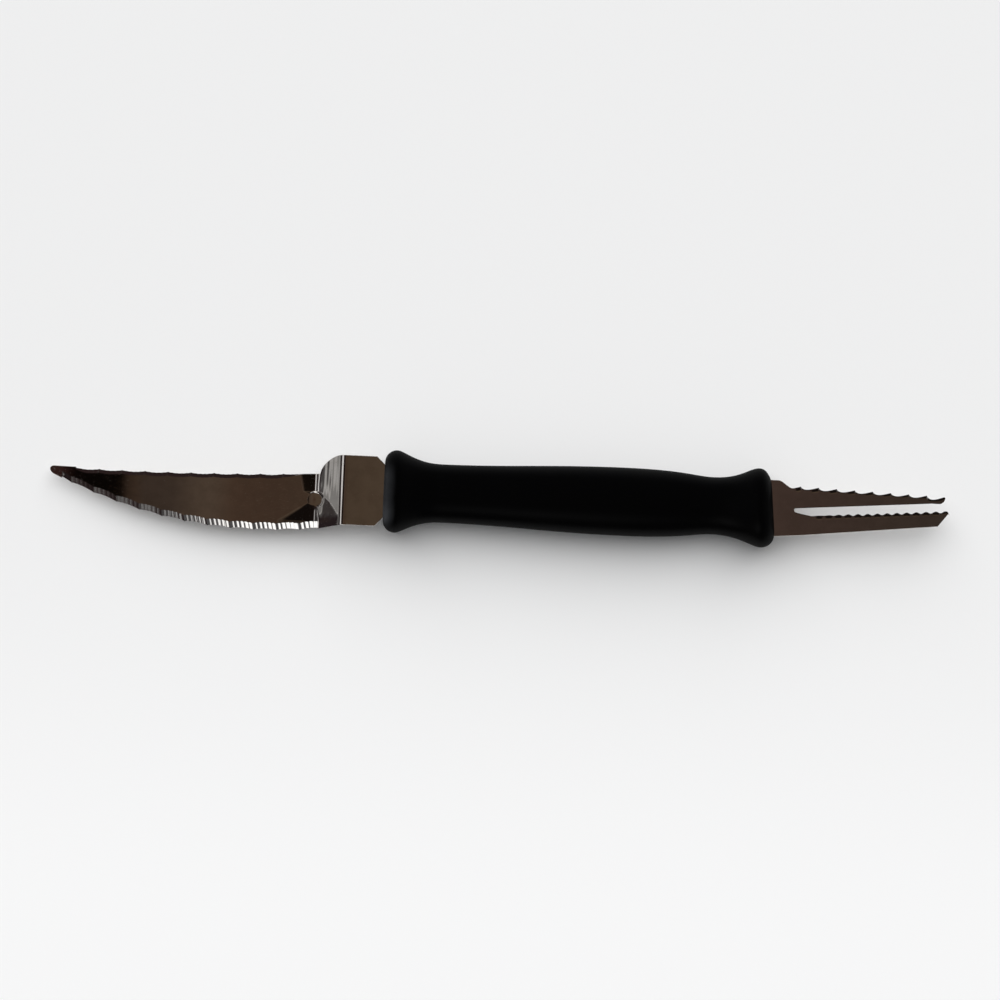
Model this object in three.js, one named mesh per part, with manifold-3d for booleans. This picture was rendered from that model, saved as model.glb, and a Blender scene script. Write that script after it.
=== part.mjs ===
// Double-ended grapefruit knife, in millimetres, +Z up, resting on the table at Z = 0.
// +X runs along the handle to the twin blade. The origin is under the lip at the curved blade's end.
import * as THREE from "three";
import { mergeVertices } from "three/addons/utils/BufferGeometryUtils.js";
import Module from "manifold-3d";

const solids = await Module();
solids.setup();
const { Manifold, Mesh } = solids;

// Handle, one moulding. Distances along it start at its curved blade's end, unless named otherwise.
const handleLength = 101.8;
const bladeLipRadius = 3.1;
const twinLipRadius = 3.8;
const bladeLipWidth = 21.6;
const bladeWaistWidth = 15.3;
const bladeWaistAt = 15;
const bellyWidth = 17.9;
const bellyAt = 63;
const twinWaistWidth = 15;
const twinWaistFromEnd = 15.5;
const twinLipWidth = 20.7;
const lipHeight = 17;
const waistHeight = 12.6;
const bellyHeight = 14.6;
const restDepth = 0.35;
const sectionPower = 2.4;
const sectionSides = 36;

// Tangs inside the handle, and the room the moulding leaves around them.
const fitGap = 0.3;
const tangWidth = 9.6;
const bladeTangDepth = 40;
const twinTangDepth = 36;
const tangCorner = 1.5;
const anchorHoleRadius = 2.2;
const anchorHolesApart = 15;
const anchorHoleFromEnd = 8;

// Curved blade, one stamping: tang, flat neck, flange down, blade that curves down to its tip.
const bladeSheet = 1;
const neckLength = 11;
const neckWidth = 18;
const neckTaperFromHandle = 2.1;
const neckTaperSlope = 1;
const flangeRun = 6.1;
const flangeAngle = 17.5;
const neckBendRadius = 8;
const bladeBendRadius = 10;
const shoulderPower = 1.4;
const bladeStraight = 22;
const bladeCurved = 48.85;
const bladeCurveRadius = 600;
const backAtRoot = 3.75;
const backDip = 2.4;
const backDipAt = 52;
const bellyDepth = 11.7;
const bellyFromBend = 17;
const heelDepth = 10.8;
const tipHeight = 1.1;
const noseRadius = 1;
const scallopPitch = 6.06;
const flutesPerScallop = 5;
const scallopDepth = 0.36;
const backScallopDepth = 0.27;
const bellyFluteLead = 1;
const fluteDepth = 0.15;
const backFluteDepth = 0.06;
const plainTip = 6;
const bellyPlainTip = 2.8;
const plainTipStep = 0.3;
const plainHeel = 1.85;
const bellyHeel = 1.8;
const backGrind = 1;
const bellyGrind = 2.2;
const edgeLand = 0.12;
const seatRadius = 2.2;
const seatOffset = 3.1;
const seatFromBend = -0.5;
const seatRise = 0.1;

// Twin blade, one stamping with a slot between its two toothed tines.
const twinSheet = 1;
const rootWidth = 14.6;
const rootDepth = 4;
const rootLength = 1.5;
const rootSlope = 3.5;
const rootHollow = 0.6;
const tineReach = 45.2;
const lowerTineLead = 1.2;
const crownAtRoot = 6.1;
const crownSlope = 0.028;
const upperFirstTooth = 7.25;
const upperPitch = 4.73;
const upperDepth = 0.75;
const upperTipHeight = 1.9;
const slotStart = 5.4;
const slotStartHeight = -0.45;
const slotFlare = 4.8;
const slotWidth = 2.1;
const slotHeight = 0.62;
const slotSlope = 0.079;
const lowerFirstTooth = 14.9;
const lowerPitch = 2.54;
const lowerDepth = 0.45;
const toothGrowth = 9;
const keelAtRoot = 7.15;
const keelRootSlope = 0.05;
const keelSlope = 0.109;
const keelTurn = 7.5;
const lowerTipCut = 2.9;

const axisHeight = lipHeight / 2 - restDepth;
const bladeEndX = -bladeLipRadius;
const twinEndX = bladeEndX + handleLength;
const toRadians = Math.PI / 180;

function solidOf(geometry) {
  const bare = geometry.clone();
  bare.deleteAttribute("normal");
  bare.deleteAttribute("uv");
  const merged = mergeVertices(bare, 1e-4);
  return new Manifold(
    new Mesh({
      numProp: 3,
      vertProperties: merged.attributes.position.array,
      triVerts: new Uint32Array(merged.index.array),
    }),
  );
}

function geometryOf(solid) {
  const mesh = solid.getMesh();
  const made = new THREE.BufferGeometry();
  made.setAttribute("position", new THREE.BufferAttribute(mesh.vertProperties, 3));
  made.setIndex(new THREE.BufferAttribute(mesh.triVerts, 1));
  made.computeVertexNormals();
  return made;
}

// A closed skin over rings of points that each run the same way round.
function loft(rings) {
  const count = rings[0].length;
  const last = rings.length - 1;
  const points = rings.flat();
  const faces = [];
  for (let i = 0; i < last; i++) {
    for (let j = 0; j < count; j++) {
      const a = i * count + j;
      const b = i * count + ((j + 1) % count);
      faces.push(a, b, b + count, a, b + count, a + count);
    }
  }
  for (let j = 1; j < count - 1; j++) {
    faces.push(0, j + 1, j);
    faces.push(last * count, last * count + j, last * count + j + 1);
  }
  const made = new THREE.BufferGeometry().setFromPoints(points);
  made.setIndex(faces);
  return made;
}

// Handle skin: width and height follow the same five stations, joined by smooth curves.
function handleProfile(bladeLip, bladeWaist, belly, twinWaist, twinLip) {
  const twinWaistAt = handleLength - twinWaistFromEnd;
  const twinLipAt = handleLength - twinLipRadius;
  const path = new THREE.Path();
  path.absarc(bladeLipRadius, bladeLip - bladeLipRadius, bladeLipRadius, Math.PI, Math.PI / 2, true);
  path.bezierCurveTo(
    bladeLipRadius + 2, bladeLip,
    bladeWaistAt - 7, bladeWaist,
    bladeWaistAt, bladeWaist,
  );
  path.bezierCurveTo(
    bladeWaistAt + 18, bladeWaist,
    bellyAt - 20, belly,
    bellyAt, belly,
  );
  path.bezierCurveTo(
    bellyAt + 16, belly,
    twinWaistAt - 5, twinWaist,
    twinWaistAt, twinWaist,
  );
  path.bezierCurveTo(
    twinWaistAt + 7, twinWaist,
    twinLipAt - 2.5, twinLip,
    twinLipAt, twinLip,
  );
  path.absarc(twinLipAt, twinLip - twinLipRadius, twinLipRadius, Math.PI / 2, 0, true);
  return path.curves.flatMap((curve, i) => {
    const steps = [6, 9, 10, 9, 9, 6][i];
    const samples = curve.getPoints(steps);
    return i === 0 ? samples : samples.slice(1);
  });
}

function handleSkin() {
  const widths = handleProfile(
    bladeLipWidth / 2, bladeWaistWidth / 2, bellyWidth / 2, twinWaistWidth / 2, twinLipWidth / 2,
  );
  const heights = handleProfile(
    lipHeight / 2, waistHeight / 2, bellyHeight / 2, waistHeight / 2, lipHeight / 2,
  );
  const flat = lipHeight / 2 - restDepth;
  const rounded = (value) => Math.sign(value) * Math.abs(value) ** (2 / sectionPower);
  return loft(widths.map((wide, i) => {
    const ring = [];
    for (let j = 0; j < sectionSides; j++) {
      const angle = ((j + 0.5) / sectionSides) * 2 * Math.PI;
      const z = heights[i].y * rounded(Math.sin(angle));
      ring.push(new THREE.Vector3(
        bladeEndX + wide.x,
        wide.y * rounded(Math.cos(angle)),
        axisHeight + Math.max(-flat, Math.min(flat, z)),
      ));
    }
    return ring;
  }));
}

// Posts or holes on the axis of a tang: along = +1 into the handle from the blade's end, -1 from the other.
function anchors(endX, along, depth, radius, height) {
  const made = [];
  for (let k = 0; k < 2; k++) {
    const inward = depth - anchorHoleFromEnd - k * anchorHolesApart;
    const pin = new THREE.CylinderGeometry(radius, radius, height, 24);
    pin.rotateX(Math.PI / 2);
    pin.translate(endX + along * inward, 0, axisHeight);
    made.push(solidOf(pin));
  }
  return made;
}

// The room for a tang: half-widths at the mouth, at the end of its taper and along the rest.
function pocket(endX, along, mouthHalf, taperStart, taperEnd, depth, sheet) {
  const half = tangWidth / 2 + fitGap;
  const outside = -2;
  const shape = new THREE.Shape();
  shape.moveTo(outside, -mouthHalf);
  shape.lineTo(taperStart, -mouthHalf);
  shape.lineTo(taperEnd, -half);
  shape.lineTo(depth + fitGap, -half);
  shape.lineTo(depth + fitGap, half);
  shape.lineTo(taperEnd, half);
  shape.lineTo(taperStart, mouthHalf);
  shape.lineTo(outside, mouthHalf);
  const thickness = sheet + 2 * fitGap;
  const made = new THREE.ExtrudeGeometry(shape, { depth: thickness, bevelEnabled: false });
  made.translate(0, 0, -thickness / 2);
  if (along < 0) {
    made.rotateZ(Math.PI);
  }
  made.translate(endX, 0, axisHeight);
  let room = solidOf(made);
  for (const post of anchors(endX, along, depth, anchorHoleRadius - fitGap, 4 * thickness)) {
    room = room.subtract(post);
  }
  return room;
}

// Middle line of the bent sheet, from runs of [length, turn upward in radians].
function sheetLine(x, z, runs) {
  const marks = [];
  let heading = 0;
  let along = 0;
  for (const [length, turn] of runs) {
    marks.push({ along, length, turn, x, z, heading });
    const end = advance(marks[marks.length - 1], length);
    x = end.x;
    z = end.z;
    heading = end.heading;
    along += length;
  }
  return { marks, length: along };
}

function advance(mark, length) {
  const turned = mark.turn * (length / mark.length);
  const chord = turned ? (2 * length / turned) * Math.sin(turned / 2) : length;
  const middle = mark.heading + turned / 2;
  return {
    x: mark.x - chord * Math.cos(middle),
    z: mark.z + chord * Math.sin(middle),
    heading: mark.heading + turned,
  };
}

function pointOn(line, along) {
  const mark = line.marks.findLast((m) => m.along <= along + 1e-9);
  return advance(mark, along - mark.along);
}

const arch = (share) => 1 - (2 * (share - Math.floor(share)) - 1) ** 2;
const between = (value, low, high) => Math.max(low, Math.min(high, value));

function curvedBlade() {
  const turn = flangeAngle * toRadians;
  const neckSetback = neckBendRadius * Math.tan(turn / 2);
  const bladeSetback = bladeBendRadius * Math.tan(turn / 2);
  const flange = flangeRun / Math.cos(turn) - neckSetback - bladeSetback;
  const line = sheetLine(bladeEndX + bladeTangDepth, axisHeight, [
    [bladeTangDepth + neckLength - neckSetback, 0],
    [neckBendRadius * turn, -turn],
    [flange, 0],
    [bladeBendRadius * turn, turn],
    [bladeStraight - bladeSetback, 0],
    [bladeCurved, -bladeCurved / bladeCurveRadius],
  ]);
  const [flat, , , bendTwo, straight, curved] = line.marks;
  const bendX = bladeEndX - neckLength - flangeRun;
  const tip = pointOn(line, line.length);
  const reach = bendX - tip.x;
  const half = neckWidth / 2;
  const heelSlope = (heelDepth - half) / flangeRun;
  const flutePitch = scallopPitch / flutesPerScallop;
  const groundFrom = straight.along + plainHeel;
  const flutes = Math.max(1, Math.floor((line.length - plainTip - groundFrom) / flutePitch));
  const groundTo = groundFrom + flutes * flutePitch;
  const heelFlutes = Math.max(0, Math.round((plainHeel + bellyHeel) / flutePitch));
  const tipFlutes = Math.max(0, Math.floor((line.length - bellyPlainTip - groundTo) / flutePitch));
  const bellyFrom = groundFrom - heelFlutes * flutePitch;
  const bellyTo = groundTo + tipFlutes * flutePitch;

  // Edges as seen from above, by the distance past the second bend: before grinding, back then belly.
  function plainEdges(x) {
    const past = bendX - x;
    const before = bladeEndX - x;
    if (before < neckLength) {
      const taper = half - Math.max(0, neckTaperSlope * (neckTaperFromHandle - before));
      const wide = between(taper, tangWidth / 2, half);
      const left = bladeEndX + bladeTangDepth - x;
      const corner = Math.max(0, tangCorner - left);
      return [wide - corner, -wide + corner];
    }
    if (past < 0) {
      const share = between(1 + past / flangeRun, 0, 1);
      const round = (1 - share ** shoulderPower) ** (1 / shoulderPower);
      return [backAtRoot + (half - backAtRoot) * round, -half - heelSlope * (past + flangeRun)];
    }
    const back = backDip + (backAtRoot - backDip) * ((past - backDipAt) / backDipAt) ** 2;
    const far = (past - bellyFromBend) / (reach - bellyFromBend);
    const near = 1 - past / bellyFromBend;
    const belly = past > bellyFromBend
      ? -bellyDepth + (bellyDepth + tipHeight) * far ** 2
      : -bellyDepth + (bellyDepth - heelDepth) * near ** 2;
    return [back, belly];
  }

  function ring(along) {
    const at = pointOn(line, along);
    let [back, belly] = plainEdges(at.x);
    let backFace = back;
    let bellyFace = belly;
    const done = (along - groundFrom) / (groundTo - groundFrom);
    const flute = arch((along - bellyFrom) / flutePitch);
    if (along > groundFrom - 1e-6 && along < groundTo + 1e-6) {
      const fade = Math.min(1, 12 * done, 12 * (1 - done) + 0.3);
      back -= backScallopDepth * arch((along - groundFrom) / scallopPitch) + backFluteDepth * flute;
      backFace = back - backGrind * fade;
    }
    if (along > bellyFrom - 1e-6 && along < bellyTo + 1e-6) {
      const lead = bellyFluteLead * flutePitch;
      belly += scallopDepth * arch((along - groundFrom - lead) / scallopPitch) + fluteDepth * flute;
      const wide = bellyGrind * (1 - 0.45 * between(done, 0, 1));
      bellyFace = belly + Math.min(wide, (backFace - belly) * 0.6);
    }
    if (along > groundTo + 1e-6) {
      back += plainTipStep;
      backFace += plainTipStep;
    }
    const leftOver = line.length - along;
    if (leftOver < noseRadius) {
      const middle = (back + belly) / 2;
      const round = Math.sqrt(1 - (1 - leftOver / noseRadius) ** 2);
      const pinch = Math.max(0.15, round);
      back = backFace = middle + (back - middle) * pinch;
      belly = bellyFace = middle + (belly - middle) * pinch;
    }
    const up = bladeSheet / 2;
    const bellyLand = bellyFace - belly > 1e-6 ? -up + edgeLand : up;
    const backLand = back - backFace > 1e-6 ? -up + edgeLand : up;
    return [
      [belly, -up], [belly, bellyLand], [bellyFace, up], [backFace, up], [back, backLand], [back, -up],
    ].map(([y, out]) => new THREE.Vector3(
      at.x + out * Math.sin(at.heading), y, at.z + out * Math.cos(at.heading),
    ));
  }

  const stations = [0, tangCorner, bladeTangDepth - 6, flat.length];
  for (let k = 0; k <= 10; k++) {
    stations.push(bladeTangDepth - 3 + k * 0.7);
  }
  for (const bend of [line.marks[1], bendTwo]) {
    for (let k = 0; k <= 6; k++) {
      stations.push(bend.along + (k / 6) * bend.length);
    }
  }
  for (let k = 1; k < 10; k++) {
    stations.push(line.marks[2].along + (k / 10) * line.marks[2].length);
  }
  for (let k = 0; k <= (heelFlutes + flutes + tipFlutes) * 4; k++) {
    stations.push(bellyFrom + (k * flutePitch) / 4);
  }
  for (let k = 0; k <= 8; k++) {
    stations.push(bellyTo + 0.02 + (k / 8) * (line.length - noseRadius - bellyTo - 0.02));
    stations.push(line.length - noseRadius * (1 - Math.sin((k / 8) * Math.PI / 2)));
  }
  stations.push(bellyFrom - 0.02, groundFrom - 0.02, groundTo + 0.02, curved.along);
  stations.sort((a, b) => a - b);
  const kept = stations.filter((s, i) => i === 0 || s - stations[i - 1] > 0.005);
  let made = solidOf(loft(kept.map(ring)));
  for (const hole of anchors(bladeEndX, 1, bladeTangDepth, anchorHoleRadius, 4 * bladeSheet)) {
    made = made.subtract(hole);
  }

  // Round seat struck flat across the second bend: the flange is pressed down to it, and it stands
  // just proud of the blade.
  function disc(radius, low, high) {
    const made = new THREE.CylinderGeometry(radius, radius, high - low, 40);
    made.rotateX(Math.PI / 2);
    made.translate(bendX + seatFromBend, -seatOffset, (low + high) / 2);
    return solidOf(made);
  }
  const level = straight.z + bladeSheet / 2 + seatRise;
  const seat = disc(seatRadius, straight.z - bladeSheet / 2, level);
  return made.subtract(disc(seatRadius, level, level + 4 * bladeSheet)).add(seat);
}

function twinBlade() {
  const rootHalf = rootWidth / 2;
  const tangHalf = tangWidth / 2;
  const crown = (x) => crownAtRoot - crownSlope * (x - upperFirstTooth);
  const slotMiddle = (x) => slotHeight - slotWidth / 2 + slotSlope * (x - slotStart - slotFlare);
  const keel = (x) => -keelAtRoot + keelRootSlope * Math.min(x, keelTurn)
    + keelSlope * Math.max(0, x - keelTurn);
  const shape = new THREE.Shape();
  // Lower side, root to tip.
  shape.moveTo(-twinTangDepth + tangCorner, -tangHalf);
  shape.lineTo(-rootDepth, -tangHalf);
  shape.lineTo(-rootDepth + rootHalf - tangHalf, -rootHalf);
  shape.lineTo(0, -rootHalf);
  const tipX = tineReach + lowerTineLead;
  const tipCutAt = tipX - lowerTipCut;
  for (let k = 0; k <= 16; k++) {
    const x = rootLength + (k / 16) * (tipCutAt - rootLength);
    shape.lineTo(x, keel(x));
  }
  // Tip of the lower tine, then its teeth back to the slot's end.
  const flared = slotStart + slotFlare;
  const lowerEdge = (x) => slotMiddle(x) - slotWidth / 2;
  shape.lineTo(tipX - 0.2, lowerEdge(tipX) - 0.9);
  shape.lineTo(tipX, lowerEdge(tipX) - 0.35);
  const lowerStart = lowerFirstTooth - lowerPitch / 2;
  const lowerSteps = Math.floor((6 * (tipX - 0.25 - lowerStart)) / lowerPitch);
  for (let k = lowerSteps; k >= 0; k--) {
    const x = lowerStart + (k / 6) * lowerPitch;
    const grown = between((x - flared) / toothGrowth, 0, 1);
    const dip = 0.5 + 0.5 * grown * Math.cos((k / 6) * 2 * Math.PI);
    shape.lineTo(x, lowerEdge(x) - lowerDepth * dip);
  }
  shape.lineTo(flared, lowerEdge(flared) - lowerDepth * 0.5);
  const runIn = lowerEdge(flared) - lowerDepth * 0.5 - slotStartHeight;
  for (const share of [0.7, 0.4, 0.15]) {
    shape.lineTo(slotStart + slotFlare * share, slotStartHeight + runIn * share ** 0.65);
  }
  shape.lineTo(slotStart, slotStartHeight);
  shape.lineTo(slotStart + slotFlare * 0.2, slotStartHeight + slotWidth * 0.16);
  // Slot side of the upper tine, its turned-up tip, then its teeth back to the root.
  const tineEnd = tineReach - 1.5;
  for (let k = 0; k <= 14; k++) {
    const x = flared + (k / 14) * (tineEnd - flared);
    shape.lineTo(x, slotMiddle(x) + slotWidth / 2);
  }
  const tipTop = crown(tineReach);
  shape.lineTo(tineReach, tipTop - upperTipHeight * 0.62);
  shape.lineTo(tineReach + 0.1, tipTop - upperTipHeight * 0.3);
  shape.lineTo(tineReach - 0.15, tipTop - 0.05);
  shape.lineTo(tineReach - 0.6, tipTop);
  const upperSteps = Math.floor((7 * (tineReach - 0.7 - upperFirstTooth)) / upperPitch);
  for (let k = upperSteps; k >= 0; k--) {
    const x = upperFirstTooth + (k / 7) * upperPitch;
    const dip = Math.sin(Math.PI * ((k % 7) / 7) ** 0.6);
    const deeper = k > upperSteps - 6 ? 1.2 : 1;
    shape.lineTo(x, crown(x) - upperDepth * deeper * dip);
  }
  const hollow = rootLength + rootSlope;
  const hollowHeight = crown(hollow) - rootHollow;
  shape.lineTo(hollow + 0.9, hollowHeight + 0.12);
  shape.lineTo(hollow, hollowHeight);
  shape.lineTo(hollow - 0.3 * rootSlope, hollowHeight + 0.2 * (rootHalf - hollowHeight));
  shape.lineTo(rootLength, rootHalf);
  shape.lineTo(-rootDepth + rootHalf - tangHalf, rootHalf);
  shape.lineTo(-rootDepth, tangHalf);
  shape.lineTo(-twinTangDepth + tangCorner, tangHalf);
  shape.lineTo(-twinTangDepth, tangHalf - tangCorner);
  shape.lineTo(-twinTangDepth, -tangHalf + tangCorner);

  const blank = new THREE.ExtrudeGeometry(shape, { depth: twinSheet, bevelEnabled: false });
  blank.translate(twinEndX, 0, axisHeight - twinSheet / 2);
  let made = solidOf(blank);
  for (const hole of anchors(twinEndX, -1, twinTangDepth, anchorHoleRadius, 4 * twinSheet)) {
    made = made.subtract(hole);
  }
  return made;
}

function handle() {
  const tangHalf = tangWidth / 2;
  const bladeMouth = neckWidth / 2 - neckTaperSlope * neckTaperFromHandle + fitGap;
  const bladeTaperEnd = (bladeMouth - fitGap - tangHalf) / neckTaperSlope + fitGap;
  const twinMouth = rootWidth / 2 + fitGap;
  const twinTaperStart = rootDepth - (rootWidth / 2 - tangHalf) + fitGap;
  const bladeRoom = pocket(
    bladeEndX, 1, bladeMouth + 0.1, fitGap, bladeTaperEnd, bladeTangDepth, bladeSheet,
  );
  const twinRoom = pocket(
    twinEndX, -1, twinMouth, twinTaperStart, rootDepth + fitGap, twinTangDepth, twinSheet,
  );
  return solidOf(handleSkin()).subtract(bladeRoom).subtract(twinRoom);
}

const steel = { color: 0xb9b4ad, roughness: 0.22, metalness: 1 };
const moulding = { color: 0x121213, roughness: 0.45, metalness: 0 };

const group = new THREE.Group();
group.name = "grapefruit_knife";
for (const [name, solid, look] of [
  ["handle", handle(), moulding],
  ["curved_blade", curvedBlade(), steel],
  ["twin_blade", twinBlade(), steel],
]) {
  const mesh = new THREE.Mesh(geometryOf(solid), new THREE.MeshStandardMaterial(look));
  mesh.name = name;
  group.add(mesh);
}

export default group;
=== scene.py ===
import math

import bmesh
import bpy
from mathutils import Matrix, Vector


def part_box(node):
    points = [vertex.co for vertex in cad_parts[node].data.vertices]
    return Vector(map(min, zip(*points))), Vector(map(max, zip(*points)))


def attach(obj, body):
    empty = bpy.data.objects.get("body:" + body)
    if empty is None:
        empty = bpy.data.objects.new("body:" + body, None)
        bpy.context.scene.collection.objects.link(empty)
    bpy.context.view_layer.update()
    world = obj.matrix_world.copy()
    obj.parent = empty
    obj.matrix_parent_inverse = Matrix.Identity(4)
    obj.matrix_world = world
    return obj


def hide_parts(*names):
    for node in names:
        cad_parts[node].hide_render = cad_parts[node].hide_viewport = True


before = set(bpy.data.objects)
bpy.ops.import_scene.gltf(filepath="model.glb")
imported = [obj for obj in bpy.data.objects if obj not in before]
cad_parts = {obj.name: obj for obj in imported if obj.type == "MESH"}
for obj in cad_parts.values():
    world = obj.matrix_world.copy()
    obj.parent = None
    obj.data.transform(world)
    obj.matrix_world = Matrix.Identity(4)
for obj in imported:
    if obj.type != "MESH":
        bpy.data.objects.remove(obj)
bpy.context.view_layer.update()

# Lengths are in millimetres along the knife and become metres when a mesh is made.
MM = 0.001
handle_low, handle_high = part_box("handle")
blade_end = handle_low[0] / MM
twin_end = handle_high[0] / MM
axis_height = (handle_low[2] + handle_high[2]) / 2 / MM
half_lip_height = (handle_high[2] - handle_low[2]) / 2 / MM

# Handle: half widths and half heights at its lips, waists and belly, and the mouths for the tangs.
handle_length = twin_end - blade_end
blade_lip, blade_waist, belly, twin_waist, twin_lip = 10.8, 7.65, 8.95, 7.5, 10.35
lip_height, waist_height, belly_height = 8.5, 6.3, 7.3
blade_lip_round, twin_lip_round, lip_steps = 3.1, 3.8, 16
blade_waist_at, belly_at, twin_waist_at = 15.0, 63.0, handle_length - 15.5
handle_sides, section_power = 112, 2.4
low_skew, high_skew, skew_low_run, skew_high_run = 0.115, 0.08, 14.0, 3.5
mouth_gap, mouth_straight, mouth_depth, mouth_over, twin_mouth_taper = 0.3, 0.4, 7.0, 2.0, 4.3

# Curved blade: the tang and the neck plate, the flange between two bends, and the blade.
sheet = 1.0
tang_inside, tang_half = 6.0, 4.8
neck_length, neck_half, neck_low, neck_taper = 11.0, 9.0, 0.3, 2.1
flange_run, flange_angle = 6.4, math.radians(17.5)
neck_bend_radius, blade_bend_radius = 6.0, 6.0
shoulder_power, shoulder_start = 1.65, 0.65
blade_straight, blade_curved, blade_curve_radius = 21.7, 48.85, 600.0
back_at_root, back_dip, back_dip_at = 3.75, 2.4, 52.0
belly_depth, belly_from_bend, heel_depth = 11.7, 17.0, 10.8
tip_height, nose_round, nose_least = 1.1, 1.0, 0.12

# Its serrations: scallops of flutes on both edges, and the grinds behind them.
scallop_pitch, flutes_per_scallop, belly_flute_lead = 6.06, 5, 1
scallop_depth, back_scallop_depth, flute_depth, back_flute_depth = 0.36, 0.27, 0.128, 0.06
plain_tip, plain_tip_step, belly_plain_tip = 6.0, 0.3, 2.8
back_heel, belly_heel = 2.17, 1.5
back_grind, back_land_height, back_grind_steps = 0.95, -0.05, 3
back_fade_in, back_fade_out, back_end_share = 8, 12, 0.4
belly_grind, belly_grind_loss, belly_grind_most, belly_grind_steps = 1.65, 0.08, 0.6, 4
heel_grind_slope, tip_grind_slope, slope_rise, slope_curve = 0.4, 0.62, 0.17, 0.13
edge_land, edge_break, flute_lean, lean_run = 0.12, 0.09, 0.22, 3.0
flute_fade, flute_fade_start, flute_fade_share, steps_per_flute = 4, 1.8, 0.6, 10

# What the press leaves round its second bend: the seat, the easing, the fold and the ripples.
seat_round, seat_high, seat_offset, seat_from_bend = 2.2, 0.06, 3.1, -0.5
seat_flat, seat_edge, seat_crown = 0.76, 0.3, 0.8
easing_slope, easing_power, easing_back, easing_low, easing_least = 0.0743, 15, 4.6, 10.4, 0.01
corner_start, corner_spread = -2.4, 1.58
back_easing_start, back_easing_blend, back_easing_level, back_easing_tilt = -2.5, 1.6, 0.9, 0.05
flange_blend, flange_back_start, flange_back_blend, back_lift_power = 1.6, -7.0, 9.0, 1.5
fold_level, fold_tilt, fold_least, fold_most = 1.46, 0.6, 0.01, 5.6
fold_rise, fold_start, fold_blend = 1.4, 0.5, 1.5
ripple_height, ripple_start, ripple_blend = 0.003, -5.0, 3.0
ripples = ((1.0, 20, 0.15), (0.5, 43, -0.2))

# Twin blade: its tang and root, the slot, and the upper and lower tine.
twin_tang, twin_tang_straight = 7.0, 4.0
root_half, root_length, root_slope, root_hollow, root_straight = 7.5, 1.5, 3.5, 0.6, 0.35
tine_reach, lower_lead, tine_step, face_columns = 45.2, 1.2, 0.12, 6
crown_at_root, crown_slope, first_tooth_power = 6.1, 0.028, 1.8
upper_first, upper_pitch, upper_depth, gullet_power, last_gullet = 7.25, 4.73, 0.75, 0.6, 1.25
upper_tip_height, upper_tip_run = 1.9, 4.0
upper_nose_run, upper_nose_height, upper_nose_round, upper_nose_least = 1.7, 0.95, 0.45, 0.15
slot_start, slot_end_low, slot_flare, slot_width = 5.75, -0.52, 4.45, 2.1
slot_height, slot_slope, slot_round, slot_round_steps = 0.62, 0.079, 0.45, 8
slot_narrow, slot_narrow_run, flare_power = 0.2, 18.0, 0.65
lower_first, lower_pitch, lower_depth, lower_grow_run = 14.9, 2.54, 0.45, 12.0
lower_tip_cut, lower_tip_drop, lower_nose_run, lower_tip_blunt = 2.9, 0.5, 0.6, 0.02
keel_at_root, keel_root_slope, keel_slope, keel_turn = 7.4, 0.083, 0.109, 7.5
tooth_grind, tooth_slope, tooth_run_in, tooth_swing, lower_tooth_level = 0.5, 0.2, 2.0, 0.7, 0.65
end_grind, end_grind_from, end_grind_run = 0.9, 6.0, 4.0
thinnest_tine, most_cut, most_break = 0.25, 0.4, 0.3

# Making the meshes: angles in degrees over which an edge stays sharp, and lengths in metres.
moulding_crease, steel_crease = 28, 24
weld, sliver = 1e-7, 1e-8


def clamp(value, low, high):
    return max(low, min(high, value))


def between(first, last, share):
    return first + (last - first) * share


def smooth(share):
    share = clamp(share, 0.0, 1.0)
    return share * share * (3 - 2 * share)


def arch(share):
    return 1 - (2 * (share % 1) - 1) ** 2


# Share of its size that a rounded end has, from 0 at its very end to 1.
def round_end(share):
    return math.sqrt(1 - (1 - share) ** 2)


# Materials: one wrapped socket class for the shader maths, and one method that adds any other node.
class Wire:
    def __init__(self, paint, socket):
        self.paint = paint
        self.socket = socket

    def maths(self, operation, *values):
        return self.paint.add("ShaderNodeMath", {"operation": operation}, dict(enumerate(values)))

    def __add__(self, other):
        return self.maths("ADD", self, other)

    def __radd__(self, other):
        return self.maths("ADD", other, self)

    def __sub__(self, other):
        return self.maths("SUBTRACT", self, other)

    def __rsub__(self, other):
        return self.maths("SUBTRACT", other, self)

    def __mul__(self, other):
        return self.maths("MULTIPLY", self, other)

    def __rmul__(self, other):
        return self.maths("MULTIPLY", other, self)

    def __truediv__(self, other):
        return self.maths("DIVIDE", self, other)

    def __rtruediv__(self, other):
        return self.maths("DIVIDE", other, self)


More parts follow.
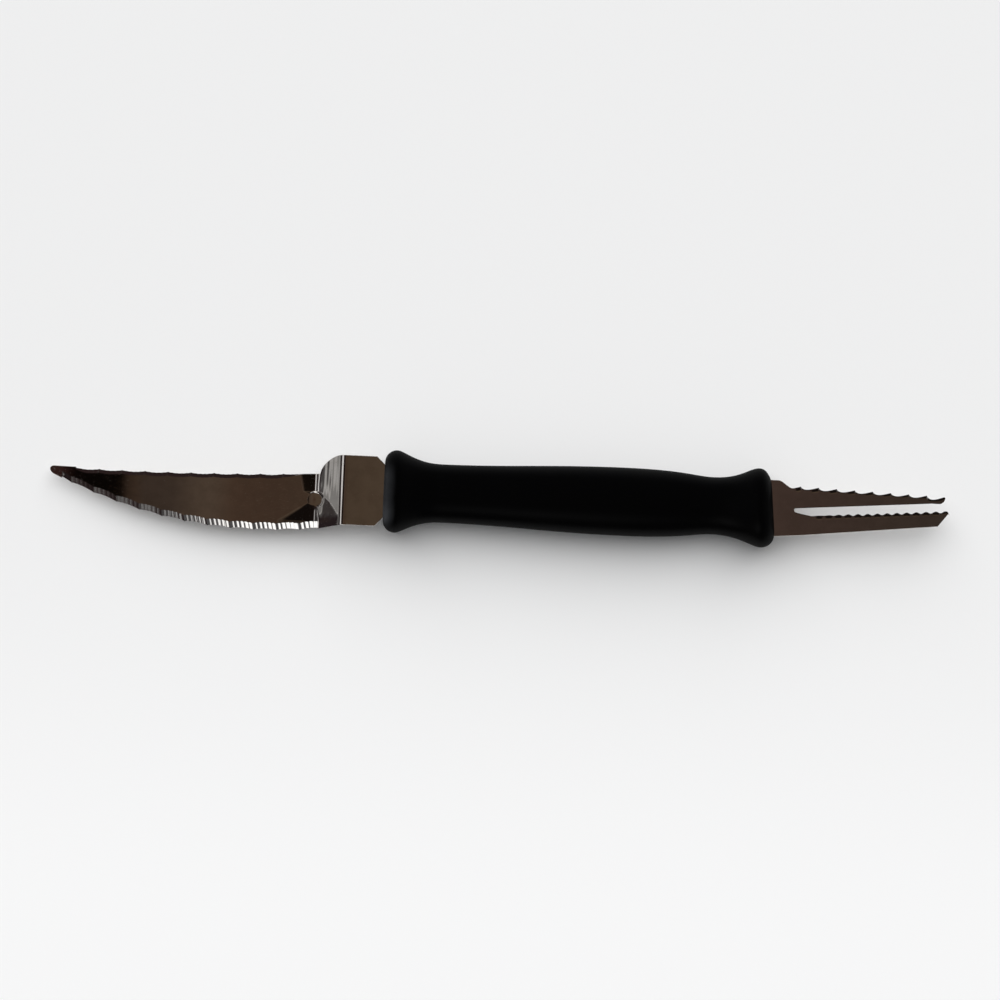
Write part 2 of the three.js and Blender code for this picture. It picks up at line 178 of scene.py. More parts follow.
class Paint:
    def __init__(self, owner):
        owner.use_nodes = True
        self.tree = owner.node_tree
        self.tree.nodes.clear()

    def add(self, kind, settings, sockets, out=0):
        node = self.tree.nodes.new(kind)
        for name, value in settings.items():
            if name == "stops":
                ramp = node.color_ramp
                while len(ramp.elements) < len(value):
                    ramp.elements.new(1.0)
                for element, (place, colour) in zip(ramp.elements, value):
                    element.position = place
                    element.color = (*colour, 1.0)
            else:
                setattr(node, name, value)
        for name, value in sockets.items():
            if isinstance(value, Wire):
                self.tree.links.new(value.socket, node.inputs[name])
            elif value is not None:
                node.inputs[name].default_value = value
        return Wire(self, node.outputs[out]) if node.outputs else None

    def outputs(self, kind, sockets, names):
        node = self.add(kind, {}, sockets).socket.node
        return [Wire(self, node.outputs[name]) for name in names]

    def axes(self, vector):
        return self.outputs("ShaderNodeSeparateXYZ", {0: vector}, "XYZ")

    def span(self, value, low, high, to_low=0.0, to_high=1.0):
        return self.add(
            "ShaderNodeMapRange", {"interpolation_type": "SMOOTHSTEP"},
            {0: value, 1: low, 2: high, 3: to_low, 4: to_high},
        )

    def place(self):
        return self.add("ShaderNodeTexCoord", {}, {}, "Object")

    def stretched(self, scale):
        return self.add("ShaderNodeMapping", {}, {"Vector": self.place(), "Scale": scale})

    def noise(self, vector, scale, detail=2.0, roughness=0.5):
        return self.add(
            "ShaderNodeTexNoise", {},
            {"Vector": vector, "Scale": scale, "Detail": detail, "Roughness": roughness},
        )

    def blend(self, share, first, second):
        return self.add(
            "ShaderNodeMix", {"data_type": "RGBA"}, {0: share, 6: first, 7: second}, 2,
        )

    def bump(self, height, distance, strength, under=None):
        return self.add(
            "ShaderNodeBump", {},
            {"Height": height, "Distance": distance, "Strength": strength, "Normal": under},
        )

    def surface(self, sockets):
        shader = self.add("ShaderNodeBsdfPrincipled", {}, sockets)
        self.add("ShaderNodeOutputMaterial", {}, {"Surface": shader})


def rgba(r, g, b):
    return (r, g, b, 1.0)


# Rolled lines along the sheet, slow waves, smears and a few hairline scuffs.
def bright_sheet_steel():
    material = bpy.data.materials.new("bright_sheet_steel")
    paint = Paint(material)
    rolling = paint.noise(paint.stretched((60, 4200, 4200)), 1.0, 3.0, 0.6)
    waves = paint.noise(paint.place(), 130.0, 1.0)
    smears = paint.noise(paint.place(), 320.0, 3.0, 0.55)
    hairline = paint.noise(paint.stretched((900, 9000, 9000)), 1.0, 1.0)
    clean, smeared = rgba(0.60, 0.57, 0.54), rgba(0.54, 0.51, 0.48)
    colour = paint.blend(paint.span(smears, 0.35, 0.7), clean, smeared)
    scuff = paint.span(hairline, 0.66, 0.74)
    roughness = 0.025 + 0.02 * rolling + 0.03 * paint.span(smears, 0.5, 0.8) + 0.08 * scuff
    wavy = paint.bump(waves, 0.00012, 0.06)
    lined = paint.bump(rolling - 0.5 * scuff, 0.00001, 0.08, wavy)
    paint.surface({
        "Base Color": colour, "Metallic": 1.0, "Roughness": roughness, "Normal": lined,
    })
    return material


# Fine lines of the grinding wheel, which run across the edge.
def ground_flute_steel():
    material = bpy.data.materials.new("ground_flute_steel")
    paint = Paint(material)
    wheel = paint.noise(paint.stretched((9000, 500, 500)), 1.0, 2.0, 0.6)
    smears = paint.noise(paint.place(), 500.0, 2.0)
    clean, smeared = rgba(0.70, 0.68, 0.66), rgba(0.62, 0.60, 0.58)
    paint.surface({
        "Base Color": paint.blend(smears, clean, smeared), "Metallic": 1.0,
        "Roughness": 0.05 + 0.04 * wheel, "Normal": paint.bump(wheel, 0.00001, 0.15),
    })
    return material


# Black moulding with a fine grain, rubbed streaks and a parting line at half height. A mottled grey
#  painted highlight lies on its end at the curved blade, where the rounded lip catches light, most
#  of it on the lower side.
def satin_black_moulding():
    material = bpy.data.materials.new("satin_black_moulding")
    paint = Paint(material)
    grain = paint.noise(paint.place(), 5200.0, 2.0, 0.6)
    cloud = paint.noise(paint.place(), 160.0, 3.0, 0.55)
    rubs = paint.noise(paint.stretched((220, 3400, 3400)), 1.0, 2.0, 0.6)
    worn = paint.span(rubs, 0.6, 0.78) * paint.span(cloud, 0.42, 0.7)
    along, across, height = paint.axes(paint.place())
    # Painted highlight: a mottled grey patch near the blade end's lip, heavier on the lower side,
    # stands in for the light the rounded lip catches.
    end = paint.span(along + 0.0016 * cloud, (blade_end + 4.2) * MM, (blade_end + 1.2) * MM)
    middle = paint.span(across, 0.0085, 0.003, 0.0, 0.5) * paint.span(across, -0.0098, -0.0068)
    low_side = paint.span(across, -0.002, -0.006, 1.0, 2.2)
    painted_lip_highlight = end * middle * low_side * paint.span(cloud, 0.3, 0.6, 0.6, 1.0)
    black, rubbed = rgba(0.0008, 0.0008, 0.0009), rgba(0.0022, 0.0022, 0.0024)
    painted_lip_highlight_grey = rgba(0.05, 0.052, 0.057)
    colour = paint.blend(painted_lip_highlight, paint.blend(worn, black, rubbed), painted_lip_highlight_grey)
    off_seam = height.maths("ABSOLUTE", height - axis_height * MM)
    seam = paint.bump(paint.span(off_seam, 0.00022, 0.00006), 0.00008, 0.5)
    normal = paint.bump(grain, 0.00003, 0.1, seam)
    dull = paint.add("ShaderNodeBsdfPrincipled", {}, {
        "Base Color": colour, "Roughness": 0.8, "Specular IOR Level": 0.0, "Normal": normal,
    })
    glossy = paint.add("ShaderNodeBsdfPrincipled", {}, {
        "Base Color": colour, "Roughness": 0.3 + 0.06 * cloud + 0.05 * grain - 0.04 * worn,
        "Specular IOR Level": 0.22, "Normal": normal,
    })
    both = paint.add("ShaderNodeMixShader", {}, {0: 0.15 + 0.05 * cloud, 1: dull, 2: glossy})
    paint.add("ShaderNodeOutputMaterial", {}, {"Surface": both})
    return material


# A little paler towards the front: painted light, the colour brightening where more light falls.
def pale_table():
    material = bpy.data.materials.new("pale_table")
    paint = Paint(material)
    cloud = paint.noise(paint.place(), 3.0, 2.0)
    _, across, _ = paint.axes(paint.place())
    painted_front_light = paint.span(across + 0.01 * cloud, 0.01, -0.11)
    colour = paint.blend(painted_front_light, rgba(0.872, 0.872, 0.872), rgba(0.944, 0.944, 0.944))
    paint.surface({"Base Color": colour, "Roughness": 0.9, "Specular IOR Level": 0.1})
    return material


def put(name, data):
    placed = bpy.data.objects.new(name, data)
    bpy.context.scene.collection.objects.link(placed)
    return placed


def clean_mesh(mesh):
    made = bmesh.new()
    made.from_mesh(mesh)
    bmesh.ops.remove_doubles(made, verts=made.verts, dist=weld)
    bmesh.ops.dissolve_degenerate(made, edges=made.edges, dist=sliver)
    bmesh.ops.recalc_face_normals(made, faces=made.faces)
    made.to_mesh(mesh)
    made.free()


def soften(mesh, crease):
    mesh.polygons.foreach_set("use_smooth", [True] * len(mesh.polygons))
    mesh.set_sharp_from_angle(angle=math.radians(crease))


# A piece from points in millimetres; kinds gives each face's material.
def make_piece(name, points, faces, node, crease, materials, kinds=None):
    mesh = bpy.data.meshes.new(name)
    mesh.from_pydata([(x * MM, y * MM, z * MM) for x, y, z in points], [], faces)
    for material in materials:
        mesh.materials.append(material)
    if kinds:
        mesh.polygons.foreach_set("material_index", kinds)
    clean_mesh(mesh)
    soften(mesh, crease)
    piece = put(name, mesh)
    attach(piece, "root")
    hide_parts(node)
    return piece


# Skin over rings of equal length; each end is closed by one face.
def ring_faces(rings, first=0):
    count = len(rings[0])
    faces = []
    for i in range(len(rings) - 1):
        for j in range(count):
            a = first + i * count + j
            b = first + i * count + (j + 1) % count
            faces.append((a, b, b + count, a + count))
    last = first + (len(rings) - 1) * count
    faces.append(tuple(first + j for j in reversed(range(count))))
    faces.append(tuple(last + j for j in range(count)))
    return faces


def bezier(p, q, r, s, steps):
    points = []
    for k in range(1, steps + 1):
        t = k / steps
        u = 1 - t
        points.append(tuple(
            u ** 3 * a + 3 * u * u * t * b + 3 * u * t * t * c + t ** 3 * d
            for a, b, c, d in zip(p, q, r, s)
        ))
    return points


# Half width or half height along the handle, from its lip, waist, belly, waist and lip. Each stop
# gives its place, its half size, and how far its curve runs level before and after it.
def handle_profile(lip_a, waist_a, middle, waist_b, lip_b):
    end_b = handle_length - twin_lip_round
    stops = [
        (blade_lip_round, lip_a, 0, 2), (blade_waist_at, waist_a, 7, 18),
        (belly_at, middle, 20, 16), (twin_waist_at, waist_b, 5, 7), (end_b, lip_b, 2.5, 0),
    ]
    quarter = [k / lip_steps * math.pi / 2 for k in range(lip_steps + 1)]
    line = [
        (blade_lip_round * (1 - math.cos(t)), lip_a - blade_lip_round * (1 - math.sin(t)))
        for t in quarter
    ]
    for (x, half, _, after), (to_x, to_half, before, _), steps in zip(
        stops, stops[1:], (36, 48, 36, 36),
    ):
        line += bezier(
            (x, half), (x + after, half), (to_x - before, to_half), (to_x, to_half), steps,
        )
    line += [
        (end_b + twin_lip_round * math.sin(t), lip_b - twin_lip_round * (1 - math.cos(t)))
        for t in quarter[1:]
    ]
    return line


def oval(value):
    return math.copysign(abs(value) ** (2 / section_power), value)


# The twin blade's end of the handle leans: its lower lobe reaches further than its upper one.
def end_shift(x, y):
    left = handle_length - x
    if y < 0:
        return -low_skew * y * smooth((skew_low_run - left) / (skew_low_run - twin_lip_round))
    return -high_skew * y * smooth(1 - left / skew_high_run)


def build_handle(material):
    widths = handle_profile(blade_lip, blade_waist, belly, twin_waist, twin_lip)
    heights = handle_profile(lip_height, waist_height, belly_height, waist_height, lip_height)
    rings = []
    for (x, wide), (_, high) in zip(widths, heights):
        ring = []
        for j in range(handle_sides):
            angle = (j + 0.5) / handle_sides * 2 * math.pi
            y = wide * oval(math.cos(angle))
            z = max(high * oval(math.sin(angle)), -half_lip_height)
            ring.append((blade_end + x + end_shift(x, y), y, axis_height + z))
        rings.append(ring)
    piece = make_piece(
        "moulded_handle", [p for ring in rings for p in ring], ring_faces(rings),
        "handle", moulding_crease, [material],
    )
    blade_mouth = neck_half - neck_taper + mouth_gap
    cut_mouth(piece, blade_end, 1, blade_mouth, blade_mouth - tang_half)
    cut_mouth(piece, twin_end, -1, root_half + mouth_gap, twin_mouth_taper)
    soften(piece.data, moulding_crease)


# Cuts the slit that a tang goes into, as a tapering pocket from the handle's end.
def cut_mouth(piece, end, inward, half, taper):
    inner, half_height = tang_half + mouth_gap, sheet / 2 + mouth_gap
    side = [
        (-mouth_over, half), (mouth_straight, half),
        (taper + mouth_straight, inner), (mouth_depth, inner),
    ]
    outline = [(x, -y) for x, y in side] + side[::-1]
    rings = [
        [(end + inward * x, y, axis_height + z) for x, y in outline]
        for z in (-half_height, half_height)
    ]
    mesh = bpy.data.meshes.new("mouth")
    mesh.from_pydata([Vector(p) * MM for ring in rings for p in ring], [], ring_faces(rings))
    clean_mesh(mesh)
    cutter = put("mouth", mesh)
    cut = piece.modifiers.new("mouth", "BOOLEAN")
    cut.operation = "DIFFERENCE"
    cut.solver = "EXACT"
    cut.object = cutter
    graph = bpy.context.evaluated_depsgraph_get()
    result = bpy.data.meshes.new_from_object(piece.evaluated_get(graph))
    piece.modifiers.clear()
    piece.data = result
    bpy.data.objects.remove(cutter)


# Middle line of the bent sheet, from runs of (length, turn upward).
def sheet_line(x, z, runs):
    marks, heading, along = [], 0.0, 0.0
    for length, turn in runs:
        marks.append((along, length, turn, x, z, heading))
        x, z, heading = advance(marks[-1], length)
        along += length
    return marks, along


def advance(mark, length):
    _, full, turn, x, z, heading = mark
    turned = turn * length / full
    chord = 2 * length / turned * math.sin(turned / 2) if turned else length
    middle = heading + turned / 2
    return x - chord * math.cos(middle), z + chord * math.sin(middle), heading + turned


def build_curved_blade(steel, flutes):
    neck_setback = neck_bend_radius * math.tan(flange_angle / 2)
    blade_setback = blade_bend_radius * math.tan(flange_angle / 2)
    marks, full = sheet_line(blade_end + tang_inside, axis_height, [
        (tang_inside + neck_length - neck_setback, 0.0),
        (neck_bend_radius * flange_angle, -flange_angle),
        (flange_run / math.cos(flange_angle) - neck_setback - blade_setback, 0.0),
        (blade_bend_radius * flange_angle, flange_angle),
        (blade_straight - blade_setback, 0.0),
        (blade_curved, -blade_curved / blade_curve_radius),
    ])
    bend_one, flange, bend_two, straight = marks[1:5]

    def point_on(along):
        mark = [m for m in marks if m[0] <= along + 1e-9][-1]
        return advance(mark, along - mark[0])

    bend_x = blade_end - neck_length - flange_run
    reach = bend_x - point_on(full)[0]
    blade_z = straight[4]
    pitch = scallop_pitch / flutes_per_scallop
    start = straight[0] + back_heel
    ground_to = start + math.floor((full - plain_tip - start) / pitch) * pitch
    belly_to = start + math.floor((full - belly_plain_tip - start) / pitch) * pitch
    belly_start = start - round((belly_heel + back_heel) / pitch) * pitch

    # The sheet's back and lower edge before any serration.
    def plain_edges(x):
        past, before = bend_x - x, blade_end - x
        if before < neck_length:
            wide = clamp(neck_half - max(0.0, neck_taper - before), tang_half, neck_half)
            return wide, -wide - neck_low * smooth(before / neck_taper)
        if past < 0:
            share = clamp((flange_run + past) / (flange_run - shoulder_start), 0.0, 1.0)
            curve = (1 - share ** shoulder_power) ** (1 / shoulder_power)
            low = neck_half + neck_low
            return (
                between(back_at_root, neck_half, curve),
                -between(low, heel_depth, past / flange_run + 1),
            )
        back = between(back_dip, back_at_root, ((past - back_dip_at) / back_dip_at) ** 2)
        if past > belly_from_bend:
            share = (past - belly_from_bend) / (reach - belly_from_bend)
            return back, between(-belly_depth, tip_height, share ** 2)
        return back, between(-belly_depth, -heel_depth, (1 - past / belly_from_bend) ** 2)

    # The press leaves its marks round the second bend: an easing before it that also lays the
    # flange's lower corner back, faint ripples on the flange, and a round seat struck flat.
    def pressed(x, y, z, seat_level):
        past = bend_x - x
        eased = (easing_power - 1) / easing_power
        low_run = clamp(corner_spread * (corner_start - y), 0.0, easing_low)
        back_run = easing_back * (back_easing_level + back_easing_tilt * y)
        back_run *= smooth((y - back_easing_start) / back_easing_blend)
        if past >= 0:
            run = max(low_run, back_run) + easing_least
            left = min(past / run, 1.0)
            z += easing_slope * run * (eased - left + left ** easing_power / easing_power)
        elif past > -flange_run:
            share = -past / flange_run
            spread = smooth(-past / flange_blend)
            flange_back = easing_back * smooth((y - flange_back_start) / flange_back_blend)
            back_lift = between(back_run, flange_back, spread) * (1 - share) ** back_lift_power
            fold = clamp(fold_level - fold_tilt * y, fold_least, fold_most)
            fold_run = fold_rise * fold * smooth((fold_start - y) / fold_blend)
            low_run += max(0.0, fold_run - low_run) * spread
            corner_lift = low_run * max(0.0, 1 + past / fold)
            z += eased * easing_slope * max(corner_lift, back_lift)
            ripple = sum(size * math.sin(waves * share + skew * y) for size, waves, skew in ripples)
            fade = math.sin(math.pi * share) * smooth((y - ripple_start) / ripple_blend)
            z += ripple_height * ripple * fade
        off_seat = math.hypot(x - bend_x - seat_from_bend, y + seat_offset) / seat_round
        struck = 1 - smooth((off_seat - seat_flat) / seat_edge)
        return between(z, seat_level + seat_high * (1 - seat_crown * off_seat ** 2), struck)

    # Columns across the upper face, closest where the seat is.
    up = sheet / 2
    columns = []
    for first, last, count in ((0.0, 0.34, 12), (0.34, 0.74, 56), (0.74, 1.0, 10)):
        columns += [between(first, last, k / count) for k in range(count)]
    columns.append(1.0)
    hair = 1e-6

    # One section of the sheet: the lower corner, the belly's grind, the upper face, the back's
    # grind, and the underside.
    def ring(along):
        x, z, heading = point_on(along)
        back, low = plain_edges(x)
        done = (along - start) / (ground_to - start)
        toward_tip = smooth(flute_fade * done - flute_fade_start)
        flute = arch((along - start) / pitch)
        back_face, back_land = back - edge_break, up - edge_break
        low_face, low_land = low + edge_break, up - edge_break
        if start - hair < along < ground_to + hair:
            scallop = arch((along - start) / scallop_pitch)
            grown = smooth(back_fade_in * done)
            grown *= smooth(back_fade_out * (1 - done) + back_end_share)
            back -= (back_scallop_depth * scallop + back_flute_depth * flute) * grown
            back_face = back - between(edge_break, back_grind, grown)
            back_land = between(back_land, back_land_height, grown)
        if belly_start - hair < along < belly_to + hair:
            scallop = arch((along - start - belly_flute_lead * pitch) / scallop_pitch)
            belly_flute = flute_depth * flute * (1 - flute_fade_share * toward_tip)
            low += scallop_depth * scallop + belly_flute
            ahead = max(0.0, done)
            low_face = low + belly_grind * (1 - belly_grind_loss * ahead)
            low_face = min(low_face, between(low, back_face, belly_grind_most))
            slope = heel_grind_slope + slope_rise * ahead + slope_curve * ahead ** 2
            low_land = max(edge_land - up, up - min(tip_grind_slope, slope) * (low_face - low))
        if along > ground_to + hair:
            back += plain_tip_step
            back_face += plain_tip_step
        left = full - along
        if left < nose_round:
            middle = (back + low) / 2
            pinch = max(nose_least, round_end(left / nose_round))
            back, low = between(middle, back, pinch), between(middle, low, pinch)
            back_face, low_face = back - edge_break * pinch, low + edge_break * pinch
        lean = flute_lean * smooth((along - belly_start) / lean_run) * (1 - toward_tip)
        section = [(low, -up)]
        for k in range(belly_grind_steps):
            share = k / belly_grind_steps
            section.append((between(low, low_face, share), between(low_land, up, share)))
        section += [(between(low_face, back_face, c), up) for c in columns]
        for k in range(1, back_grind_steps + 1):
            share = k / back_grind_steps
            section.append((between(back_face, back, share), between(up, back_land, share)))
        section += [(between(back, low, c), -up) for c in columns[:-1:3]]
        placed = []
        for j, (y, out) in enumerate(section):
            px, pz = x + out * math.sin(heading), z + out * math.cos(heading)
            if 1 <= j <= 1 + belly_grind_steps:
                px -= lean * (y - low)
            placed.append((px, y, pressed(px, y, pz, blade_z + out)))
        return placed

    # Stations along the sheet, close at the handle's mouth, the bends, the flutes and the nose.
    least_step, brink, mouth_step = 0.004, 0.03, 0.12
    stations = [0.0, 2.0, 4.0, 5.0]
    stations += [tang_inside - 0.3 + k * mouth_step for k in range(26)]
    stations += [tang_inside + 3.5 + k for k in range(7)]
    for mark, steps in ((bend_one, 24), (flange, 56), (bend_two, 40)):
        stations += [mark[0] + mark[1] * k / steps for k in range(steps + 1)]
    count = round((belly_to - belly_start) / pitch) * steps_per_flute
    stations += [belly_start + k * pitch / steps_per_flute for k in range(count + 1)]
    stations += [belly_start - brink, ground_to + brink, belly_to + brink]
    stations += [belly_to + brink + k / 16 * (full - nose_round - belly_to) for k in range(16)]
    stations += [full - nose_round * (1 - math.sin(k / 14 * math.pi / 2)) for k in range(15)]
    stations.sort()
    stations = [
        s for i, s in enumerate(stations) if i == 0 or s - stations[i - 1] > least_step
    ]
    rings = [ring(s) for s in stations]
    top = belly_grind_steps + len(columns)
    kinds = []
    for along in stations[:-1]:
        on_belly = belly_start - hair < along < belly_to - hair
        on_back = start - hair < along < ground_to - hair
        for j in range(len(rings[0])):
            belly_band = on_belly and 1 <= j <= belly_grind_steps
            back_band = on_back and top <= j < top + back_grind_steps
            kinds.append(int(belly_band or back_band))
    kinds += [0, 0]
    make_piece(
        "curved_serrated_blade", [p for r in rings for p in r], ring_faces(rings),
        "curved_blade", steel_crease, [steel, flutes], kinds,
    )


def build_twin_blade(steel, flutes):
    lower_reach = tine_reach + lower_lead
    flared = slot_start + slot_flare
    hollow = root_length + root_slope

    # Line through the upper teeth's points, and the edge with its teeth.
    def crown(x):
        return crown_at_root - crown_slope * (x - upper_first)

    def toothed_crown(x):
        if x < root_length:
            return root_half
        hollow_height = crown(hollow) - root_hollow
        if x < hollow:
            share = (x - root_length) / root_slope
            return between(root_half, hollow_height, between(smooth(share), share, root_straight))
        if x < upper_first:
            share = (x - hollow) / (upper_first - hollow)
            return between(hollow_height, crown(upper_first), share ** first_tooth_power)
        return crown(x) - upper_depth * upper_dip(x)

    # Depth of the gullet behind each upper tooth; the last one is cut deeper.
    def upper_dip(x):
        teeth = (x - upper_first) / upper_pitch
        last = math.floor((tine_reach - upper_first) / upper_pitch)
        if not 0 <= teeth <= last:
            return 0.0
        deeper = last_gullet if teeth > last - 1 else 1.0
        return deeper * math.sin(math.pi * (teeth % 1) ** gullet_power)

    def lower_wave(x):
        return 0.5 * math.cos(2 * math.pi * (x - lower_first) / lower_pitch)

    # Heights of the slot's plain edges, and its blunt end, rounded between them.
    def slot_top(x):
        return slot_height + slot_slope * (x - flared)

    def slot_floor(x):
        return slot_top(x) - slot_width

    def rounded_end(x, edge):
        middle = (slot_top(slot_start) + slot_end_low) / 2
        return between(middle, edge, round_end(clamp((x - slot_start) / slot_round, 0.0, 1.0)))

    def slot_high(x):
        return rounded_end(x, slot_top(x))

    # The slot's lower edge, which is the lower tine's toothed one and drops at the tip.
    def slot_low(x):
        share = clamp((x - slot_start) / slot_flare, 0.0, 1.0)
        run_in = slot_floor(flared) - lower_depth * 0.5 + slot_narrow
        edge = between(slot_end_low, run_in, share ** flare_power)
        if x > flared:
            depth = lower_depth * (0.5 - lower_wave(x) * smooth((x - flared) / lower_grow_run))
            depth -= slot_narrow * (1 - smooth((x - flared) / slot_narrow_run))
            edge = slot_floor(x) - depth
        left = lower_reach - x
        if left < lower_nose_run:
            edge -= lower_tip_drop * (1 - left / lower_nose_run) ** 2
        return rounded_end(x, edge)

    # The lower tine's plain edge, cut off aslant at the tip.
    def keel(x):
        cut_from = lower_reach - lower_tip_cut
        run = min(x, cut_from)
        low = -keel_at_root + keel_root_slope * clamp(run, 0, keel_turn)
        low += keel_slope * max(0.0, run - keel_turn)
        tip = slot_floor(lower_reach) - lower_tip_drop
        return between(low, tip, max(0.0, x - cut_from) / lower_tip_cut)

    # A section of one tine: wall, broken or ground edge, upper face, edge, wall and underside.
    low_wall, tooth_face, high_wall = 0, face_columns + 2, face_columns + 3

    def strip_ring(x, low, high, low_cut, high_cut):
        up = sheet / 2
        low_deep, high_deep = (
            min(cut, between(edge_break, cut, tooth_slope)) for cut in (low_cut, high_cut)
        )
        shares = [k / face_columns for k in range(face_columns + 1)]
        section = [(low, -up), (low, up - low_deep)]
        section += [(between(low + low_cut, high - high_cut, s), up) for s in shares]
        section += [(high, up - high_deep), (high, -up)]
        section += [(between(high, low, s), -up) for s in shares[1:-1]]
        return [(twin_end + x, y, axis_height + z) for y, z in section]

    def steps(first, last, size):
        count = max(1, math.ceil((last - first) / size))
        return [between(first, last, k / count) for k in range(count + 1)]

    # Both tines run through the root as its lower and upper half, which share the slot's middle.
    seam = slot_low(slot_start)
    widened = -twin_tang_straight + root_half - tang_half
    sections = [
        (-twin_tang, -tang_half, tang_half), (-twin_tang_straight, -tang_half, tang_half),
        (widened, -root_half, root_half), (0.0, -root_half, root_half),
    ]
    sections += [(x, keel(x), toothed_crown(x)) for x in steps(0.0, slot_start, tine_step)[1:-1]]
    lower = [strip_ring(x, low, seam, edge_break, 0.0) for x, low, _ in sections]
    upper = [strip_ring(x, seam, high, 0.0, edge_break) for x, _, high in sections]
    rounded = slot_start + slot_round
    slot_nose = [
        slot_start + slot_round * (1 - math.cos(k / slot_round_steps * math.pi / 2))
        for k in range(slot_round_steps)
    ]

    for x in slot_nose + steps(rounded, lower_reach - lower_tip_blunt, tine_step):
        opened = min(1.0, (x - slot_start) / slot_round)
        grown = smooth((x - flared) / tooth_run_in)
        grown *= lower_tooth_level + tooth_swing * lower_wave(x)
        high = slot_low(x)
        low = min(keel(x), high - thinnest_tine)
        cut = min(between(edge_break, tooth_grind, grown) * opened, (high - low) * most_cut)
        broken = min(edge_break, (high - low) * most_break)
        lower.append(strip_ring(x, low, high, broken, cut))

    for x in slot_nose + steps(rounded, tine_reach, tine_step / 2):
        left = tine_reach - x
        opened = min(1.0, (x - slot_start) / slot_round)
        grown = smooth((x - hollow) / tooth_run_in) * (1 - tooth_swing * min(1.0, upper_dip(x)))
        low, high = slot_high(x), toothed_crown(x)
        tip_low = crown(tine_reach) - upper_tip_height
        low += (tip_low - slot_high(tine_reach)) * smooth(1 - left / upper_tip_run)
        if left < upper_nose_run:
            nose_low = high - upper_nose_height
            low = between(low, nose_low, (1 - left / upper_nose_run) ** 2)
        if left < upper_nose_round:
            middle = (low + high) / 2
            pinch = max(upper_nose_least, round_end(left / upper_nose_round))
            low, high = between(middle, low, pinch), between(middle, high, pinch)
        cut = between(edge_break, tooth_grind, grown)
        cut += end_grind * smooth((end_grind_from - left) / end_grind_run)
        cut = min(cut, (high - low) * most_cut)
        broken = min(edge_break, (high - low) * most_break) * opened
        upper.append(strip_ring(x, low, high, broken, cut))

    # The two halves are open to each other at the seam, and only the tines' teeth are ground.
    points, faces, kinds = [], [], []
    for rings, seam_wall in ((lower, high_wall), (upper, low_wall)):
        for k, face in enumerate(ring_faces(rings, len(points))):
            i, j = divmod(k, len(rings[0]))
            in_root = i < len(sections)
            if not (in_root and j == seam_wall):
                faces.append(face)
                kinds.append(int(j == tooth_face and not in_root and i < len(rings) - 1))
        points.extend(p for ring in rings for p in ring)
    make_piece(
        "slotted_twin_blade", points, faces,
        "twin_blade", steel_crease, [steel, flutes], kinds,
    )


def lay_table():
    size = 4.0
    mesh = bpy.data.meshes.new("table")
    corners = [(-size, -size, 0), (size, -size, 0), (size, size, 0), (-size, size, 0)]
    mesh.from_pydata(corners, [], [(0, 1, 2, 3)])
    mesh.materials.append(pale_table())
    put("table", mesh)


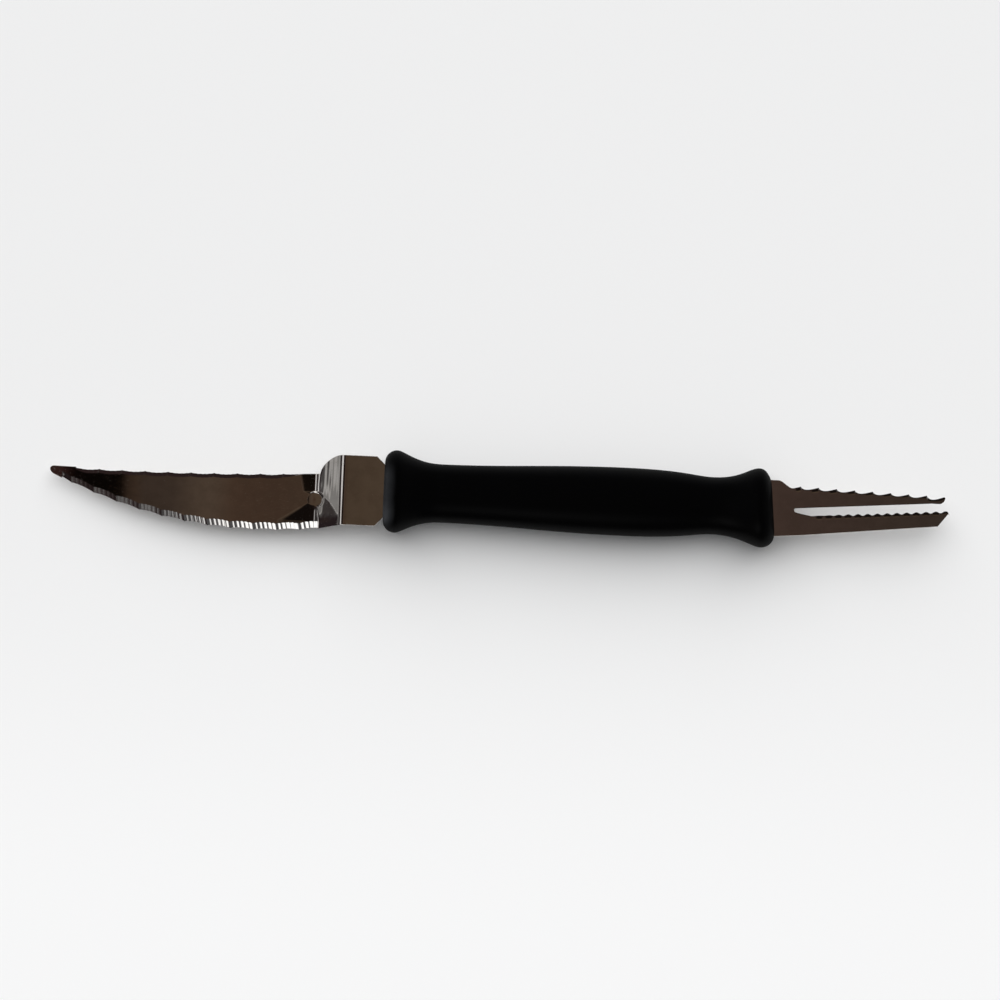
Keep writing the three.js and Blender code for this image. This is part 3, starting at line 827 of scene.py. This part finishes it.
# What polished steel sees round it: browns straight above, a bright strip to the left, a glare in
# front, grey walls near the horizon, and dark between them. Matt surfaces get even, soft light.
def hang_studio():
    world = bpy.data.worlds.new("studio")
    bpy.context.scene.world = world
    paint = Paint(world)
    x, y, z = paint.axes(paint.add("ShaderNodeTexCoord", {}, {}, "Generated"))
    along = x.maths("ARCTAN2", x, z)
    across = x.maths("ARCTAN2", y, z)

    # Colours by the angle from straight up, in degrees.
    def sweep(angle, widest, colours):
        share = angle / math.radians(2 * widest) + 0.5
        stops = [(degrees / (2 * widest) + 0.5, colour) for degrees, colour in colours]
        return paint.add("ShaderNodeValToRGB", {"stops": stops}, {0: share})

    brown, umber, dusk = (0.103, 0.073, 0.05), (0.062, 0.040, 0.027), (0.045, 0.021, 0.018)
    drab, tan, russet = (0.061, 0.043, 0.033), (0.103, 0.073, 0.053), (0.064, 0.038, 0.026)
    chestnut, plum, sepia = (0.083, 0.049, 0.033), (0.073, 0.047, 0.04), (0.055, 0.041, 0.033)
    dark, black, damson = (0.010, 0.007, 0.006), (0.003, 0.002, 0.0016), (0.028, 0.02, 0.022)
    soot, peat, bark = (0.026, 0.018, 0.015), (0.03, 0.018, 0.018), (0.024, 0.016, 0.016)
    cocoa, mocha = (0.045, 0.032, 0.032), (0.056, 0.043, 0.043)
    dim, ash, grey, pale_grey = (0.1, 0.098, 0.1), (0.17,) * 3, (0.31,) * 3, (0.53,) * 3
    haze, bright, glare = (0.8,) * 3, (0.98, 0.98, 1.0), (1.7,) * 3
    left_right = sweep(along, 55, [
        (-52, dark), (-44, grey), (-33.2, grey), (-32.2, pale_grey), (-31, pale_grey),
        (-29.6, dim), (-27.6, dim), (-25.5, damson), (-21.2, damson), (-20.4, bright),
        (-16.0, bright), (-15.2, dusk), (-13.0, dusk), (-12.5, black), (-9.3, black),
        (-8.95, umber), (-8.5, umber), (-8.2, drab), (-6.5, drab), (-4.6, tan), (-3.8, tan),
        (-2.7, chestnut), (-2.1, russet), (-1.9, russet), (-1.5, brown), (0.5, brown),
        (2.6, plum), (4.5, sepia), (9, sepia), (13, dark), (26, dark), (44, grey),
    ])
    overhead = [(-10, brown), (6.5, brown), (11, dark), (28, dark), (37, soot), (56, peat)]
    front_lit = sweep(across, 80, [
        (-74, cocoa), (-63, mocha), (-60.5, ash), (-58.5, haze), (-56, glare), (-32, glare),
        (-26, dark), *overhead,
    ])
    front_dim = sweep(across, 80, [
        (-64, bark), (-55, dim), (-30, dim), (-24, dark), *overhead,
    ])

    # The glare fills only part of the way round, and starts further round where it is low.
    turned = x.maths("ARCTAN2", 0 - x, 0 - y)
    steep = paint.span(across, math.radians(-44), math.radians(-58))
    lit_share = paint.span(turned - 0.25 * steep, -0.1, 0.1) * paint.span(turned, 0.66, 0.46)
    front_back = paint.blend(lit_share, front_dim, front_lit)
    sideways = x * x / (x * x + y * y + 0.0001)
    high = paint.blend(sideways * sideways, front_back, left_right)

    # The walls are lower behind, and none stands ahead.
    ahead = paint.span(turned, -0.5, -0.3) * paint.span(turned, 1.5, 1.2)
    behind = paint.span(turned.maths("ABSOLUTE", turned), 2.55, 2.72)
    wall = paint.span(z, 0.62, 0.36) * (1 - behind)
    wall = wall.maths("MAXIMUM", wall, paint.span(z, 0.4, 0.28)) * (1 - ahead)
    seen = paint.blend(wall, high, rgba(0.42, 0.42, 0.43))

    mirror = paint.add("ShaderNodeBackground", {}, {0: seen, 1: 1.0})
    soft = paint.add("ShaderNodeBackground", {}, {0: rgba(0.98, 0.99, 1.0), 1: 0.225})
    pale = paint.add("ShaderNodeBackground", {}, {0: rgba(0.83, 0.83, 0.835), 1: 1.0})
    camera, glossy, through = paint.outputs(
        "ShaderNodeLightPath", {}, ("Is Camera Ray", "Is Glossy Ray", "Is Transmission Ray"),
    )
    mirrored = glossy.maths("MAXIMUM", glossy, through)
    lit = paint.add("ShaderNodeMixShader", {}, {0: mirrored, 1: soft, 2: mirror})
    shown = paint.add("ShaderNodeMixShader", {}, {0: camera, 1: lit, 2: pale})
    paint.add("ShaderNodeOutputWorld", {}, {"Surface": shown})


# One broad light from behind, which the steel doesn't mirror.
def hang_window():
    toward, spread, strength = Vector((0.06, -0.636, -0.77)), 79, 3.13
    lamp = bpy.data.lights.new("window", "SUN")
    lamp.angle = math.radians(spread)
    lamp.energy = strength
    holder = put("window", lamp)
    holder.rotation_euler = toward.to_track_quat("-Z", "Y").to_euler()
    holder.visible_glossy = False


# Straight down, turned a little; distance, the width in view and the middle of it are in metres.
def set_camera():
    tilt = math.radians(2.58)
    distance, width, sensor = 1.5, 0.262, 36.0
    middle_x, middle_y = 0.02737, -0.001
    camera = bpy.data.cameras.new("camera")
    camera.sensor_width = sensor
    camera.lens = sensor * distance / width
    camera.clip_end = 20.0
    holder = put("camera", camera)
    holder.location = (middle_x, middle_y, axis_height * MM + distance)
    holder.rotation_euler = (0.0, 0.0, tilt)
    bpy.context.scene.camera = holder


bpy.context.scene.view_settings.view_transform = "Standard"
set_camera()
lay_table()
hang_studio()
hang_window()

steel = bright_sheet_steel()
flutes = ground_flute_steel()
build_handle(satin_black_moulding())
build_curved_blade(steel, flutes)
build_twin_blade(steel, flutes)
